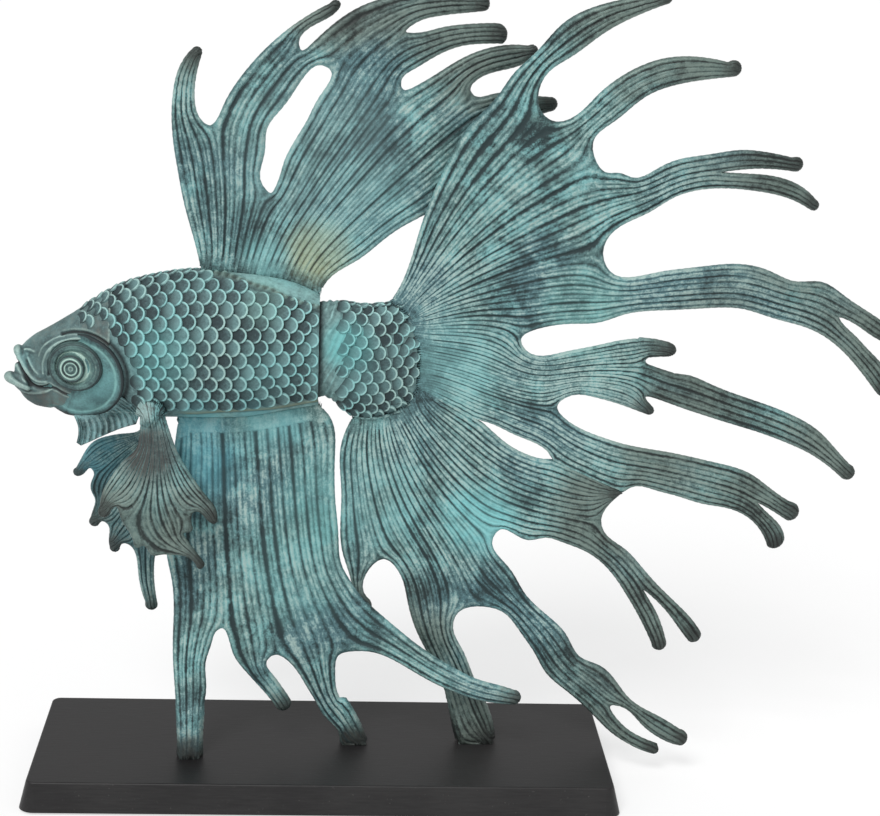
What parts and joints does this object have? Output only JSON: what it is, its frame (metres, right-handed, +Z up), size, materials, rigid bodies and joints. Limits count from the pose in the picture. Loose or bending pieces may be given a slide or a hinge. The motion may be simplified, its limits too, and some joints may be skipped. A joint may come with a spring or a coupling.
{
  "type": "fish figurine",
  "caption": "Verdigris bronze fighting fish with long ragged fins, standing on its fin tips on a black wooden plinth.",
  "frame": {"origin": "centre of the felt's underside, which is the face that the plinth stands on", "axes": "+X from the fish's head to its tail, along the plinth; +Y away from the fish's left side, across the plinth; +Z up"},
  "size_m": [0.6109, 0.16, 0.5546],
  "materials": {
    "patinated_bronze": "verdigris patina, streaked, darker in the grooves",
    "black_wood": "satin black lacquer",
    "felt": "black felt",
    "screw_steel": "zinc plated"
  },
  "bodies": {
    "root": {"head": "patinated_bronze", "left_eye": "patinated_bronze", "right_eye": "patinated_bronze", "left_gill_cover": "patinated_bronze", "right_gill_cover": "patinated_bronze", "left_gill_membrane": "patinated_bronze", "right_gill_membrane": "patinated_bronze", "body_shell": "patinated_bronze", "tail_stem": "patinated_bronze", "head_joint_pins": "patinated_bronze", "body_joint_pins": "patinated_bronze", "dorsal_fin": "patinated_bronze", "upper_tail_fin": "patinated_bronze", "lower_tail_fin": "patinated_bronze", "anal_fin": "patinated_bronze", "left_pectoral_fin": "patinated_bronze", "right_pectoral_fin": "patinated_bronze", "plinth": "black_wood", "felt_sheet": "felt", "front_foot_screw": "screw_steel", "front_foot_washer": "screw_steel", "middle_foot_screw": "screw_steel", "middle_foot_washer": "screw_steel", "tail_foot_screw": "screw_steel", "tail_foot_washer": "screw_steel"}
  },
  "joints": []
}
